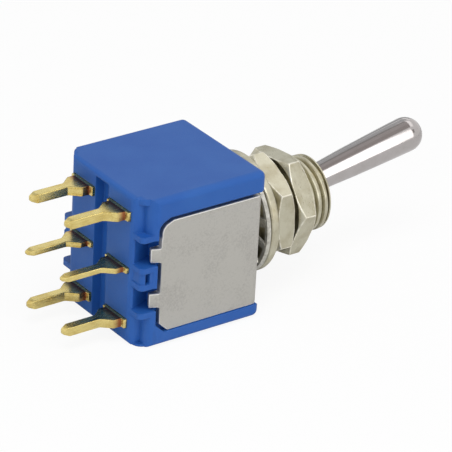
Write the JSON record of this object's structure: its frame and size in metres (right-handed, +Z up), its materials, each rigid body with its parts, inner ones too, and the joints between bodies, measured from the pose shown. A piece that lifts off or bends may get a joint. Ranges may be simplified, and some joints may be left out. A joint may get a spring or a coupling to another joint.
{
  "type": "miniature toggle switch",
  "caption": "Miniature panel toggle switch: blue moulded case, steel frame, threaded bushing with nuts and washers, bright bat lever and gold board pins.",
  "frame": {"origin": "on the bushing axis at the front face of the steel frame, where the panel seats", "axes": "+X out along the bushing, +Y across the two poles, +Z up, the way the lever is thrown"},
  "size_m": [0.0371, 0.0114, 0.013],
  "materials": {
    "blue_plastic": "satin",
    "frame_steel": "matt",
    "nickel": "satin",
    "bright_chrome": "polished",
    "inner_steel": "satin",
    "nylon": "matt",
    "plunger_brass": "satin",
    "contact_silver": "satin",
    "gold": "polished",
    "washer_steel": "satin"
  },
  "bodies": {
    "base": {"case": "blue_plastic", "frame": "frame_steel", "bushing": "nickel", "pivot_pin": "inner_steel", "end_pin_a_top": "gold", "end_pin_a_low": "gold", "end_pin_b_top": "gold", "end_pin_b_low": "gold", "common_pin_a": "gold", "common_pin_b": "gold"},
    "lever": {"lever": "bright_chrome", "carrier": "nylon", "spring_a": "inner_steel", "spring_b": "inner_steel"},
    "plunger_a": {"plunger_a": "plunger_brass"},
    "plunger_b": {"plunger_b": "plunger_brass"},
    "rocker_a": {"rocker_a": "contact_silver"},
    "rocker_b": {"rocker_b": "contact_silver"},
    "lock_washer": {"lock_washer": "washer_steel"},
    "plain_washer": {"plain_washer": "nickel"},
    "inner_nut": {"inner_nut": "nickel"},
    "outer_nut": {"outer_nut": "nickel"}
  },
  "joints": [
    {"name": "lever_throw", "type": "hinge", "parent": "base", "child": "lever", "pos_m": [0.004, 0, 0], "axis": [0, 1, 0], "range_deg": [0, 21.4]},
    {"name": "plunger_a_slide", "type": "slide", "parent": "lever", "child": "plunger_a", "axis": [0.9826, 0, 0.1857], "range_m": [0, 0.0005], "stiffness_N_per_m": 200, "springref_m": -0.001, "deforming": ["spring_a"]},
    {"name": "plunger_b_slide", "type": "slide", "parent": "lever", "child": "plunger_b", "axis": [0.9826, 0, 0.1857], "range_m": [0, 0.0005], "stiffness_N_per_m": 200, "springref_m": -0.001, "deforming": ["spring_b"]},
    {"name": "rocker_a_tilt", "type": "hinge", "parent": "base", "child": "rocker_a", "pos_m": [-0.0081, -0.0025, 0], "axis": [0, 1, 0], "range_deg": [-10, 0]},
    {"name": "rocker_b_tilt", "type": "hinge", "parent": "base", "child": "rocker_b", "pos_m": [-0.0081, 0.0025, 0], "axis": [0, 1, 0], "range_deg": [-10, 0]},
    {"name": "washer_slide", "type": "slide", "parent": "base", "child": "lock_washer", "axis": [1, 0, 0], "range_m": [-0.001, 0.0005]},
    {"name": "plain_washer_turn", "type": "hinge", "parent": "lock_washer", "child": "plain_washer", "pos_m": [0.002, 0, 0], "axis": [1, 0, 0], "continuous": true},
    {"name": "inner_nut_turn", "type": "hinge", "parent": "base", "child": "inner_nut", "pos_m": [0.0038, 0, 0], "axis": [1, 0, 0], "continuous": true},
    {"name": "outer_nut_turn", "type": "hinge", "parent": "base", "child": "outer_nut", "pos_m": [0.0058, 0, 0], "axis": [1, 0, 0], "continuous": true}
  ],
  "couplings": [
    {"joint": "rocker_a_tilt", "follows": "lever_throw", "ratio": -0.46729},
    {"joint": "rocker_b_tilt", "follows": "lever_throw", "ratio": -0.46729}
  ]
}
